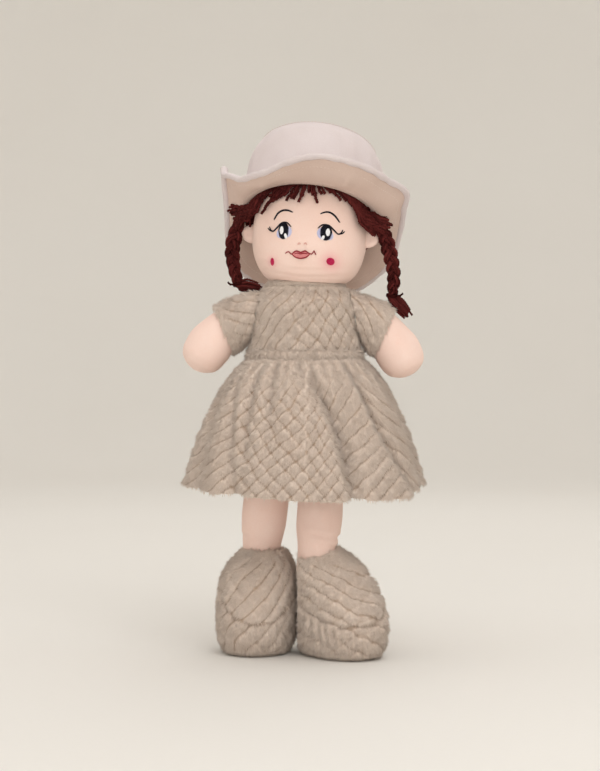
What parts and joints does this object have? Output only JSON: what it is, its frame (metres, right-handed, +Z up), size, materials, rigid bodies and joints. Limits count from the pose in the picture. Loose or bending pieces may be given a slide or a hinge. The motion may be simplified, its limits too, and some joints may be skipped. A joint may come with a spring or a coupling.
{
  "type": "plush doll",
  "caption": "Stuffed rag doll in a quilted plush dress and boots with yarn braids and a removable soft brimmed hat; head, arms, legs and braids move.",
  "frame": {"origin": "on the floor, under the middle of the doll's width and depth", "axes": "+Z up from the soles to the hat, -Y out of the face, +X towards the doll's own left hand"},
  "size_m": [0.2084, 0.1708, 0.4467],
  "materials": {
    "body_cloth": "matte",
    "stuffing": "matte",
    "dress_plush": "matte",
    "boot_plush": "matte",
    "hat_cloth": "matte",
    "hair_yarn": "satin",
    "tie_yarn": "satin",
    "dark_thread": "satin",
    "pale_pink_thread": "satin",
    "rose_thread": "satin"
  },
  "bodies": {
    "torso": {"torso_skin": "body_cloth", "torso_filling": "stuffing", "bodice": "dress_plush", "waist_band": "dress_plush", "neck_binding": "dress_plush", "skirt": "dress_plush"},
    "head": {"head_skin": "body_cloth", "head_filling": "stuffing", "ear_left": "body_cloth", "ear_right": "body_cloth", "eye_left": "dark_thread", "eye_right": "dark_thread", "brow_left": "dark_thread", "brow_right": "dark_thread", "nose_stitch": "pale_pink_thread", "lips": "rose_thread", "hair_cap": "hair_yarn", "hair_fringe": "hair_yarn", "hair_lock_left": "hair_yarn", "hair_lock_right": "hair_yarn"},
    "hat": {"hat_side_band": "hat_cloth", "hat_top_panel": "hat_cloth", "brim_upper": "hat_cloth", "brim_under": "hat_cloth", "brim_hem": "hat_cloth"},
    "braid_left": {"braid_left": "hair_yarn", "braid_tie_left": "tie_yarn", "braid_tuft_left": "hair_yarn"},
    "braid_right": {"braid_right": "hair_yarn", "braid_tie_right": "tie_yarn", "braid_tuft_right": "hair_yarn"},
    "arm_left": {"arm_skin_left": "body_cloth", "arm_filling_left": "stuffing", "sleeve_left": "dress_plush"},
    "arm_right": {"arm_skin_right": "body_cloth", "arm_filling_right": "stuffing", "sleeve_right": "dress_plush"},
    "seat": {"seat_skin": "body_cloth", "seat_filling": "stuffing"},
    "leg_left": {"leg_skin_left": "body_cloth", "leg_filling_left": "stuffing", "boot_sole_left": "boot_plush", "boot_toe_left": "boot_plush", "boot_shaft_left": "boot_plush", "boot_filling_left": "stuffing"},
    "leg_right": {"leg_skin_right": "body_cloth", "leg_filling_right": "stuffing", "boot_sole_right": "boot_plush", "boot_toe_right": "boot_plush", "boot_shaft_right": "boot_plush", "boot_filling_right": "stuffing"}
  },
  "joints": [
    {"name": "head_turn", "type": "hinge", "parent": "torso", "child": "head", "pos_m": [0.00129, 0.00508, 0.3125], "axis": [0.0523, 0, 0.9986], "range_deg": [-25, 25]},
    {"name": "hat_lift", "type": "slide", "parent": "head", "child": "hat", "axis": [0, 0, 1], "range_m": [0, 0.125]},
    {"name": "braid_left_swing", "type": "hinge", "parent": "head", "child": "braid_left", "pos_m": [0.06587, -0.00423, 0.35448], "axis": [1, 0, 0], "range_deg": [-25, 20], "deforming": ["braid_tuft_left"]},
    {"name": "braid_right_swing", "type": "hinge", "parent": "head", "child": "braid_right", "pos_m": [-0.05858, 0.01439, 0.361], "axis": [1, 0, 0], "range_deg": [-25, 20], "deforming": ["braid_tuft_right"]},
    {"name": "shoulder_left", "type": "hinge", "parent": "torso", "child": "arm_left", "pos_m": [0.03959, 0.00508, 0.2867], "axis": [-0.9796, 0, -0.2011], "range_deg": [-20, 90]},
    {"name": "shoulder_right", "type": "hinge", "parent": "torso", "child": "arm_right", "pos_m": [-0.04101, 0.00508, 0.2867], "axis": [-0.9796, 0, 0.2011], "range_deg": [-20, 90]},
    {"name": "seat_fold", "type": "hinge", "parent": "torso", "child": "seat", "pos_m": [-0.00671, 0.00508, 0.199], "axis": [-1, 0, 0], "range_deg": [0, 70], "deforming": ["skirt"]},
    {"name": "leg_left_swing", "type": "hinge", "parent": "seat", "child": "leg_left", "pos_m": [0.01629, 0.00508, 0.172], "axis": [-1, 0, 0], "range_deg": [-25, 25]},
    {"name": "leg_right_swing", "type": "hinge", "parent": "seat", "child": "leg_right", "pos_m": [-0.02971, 0.00508, 0.172], "axis": [-1, 0, 0], "range_deg": [-25, 25]}
  ]
}
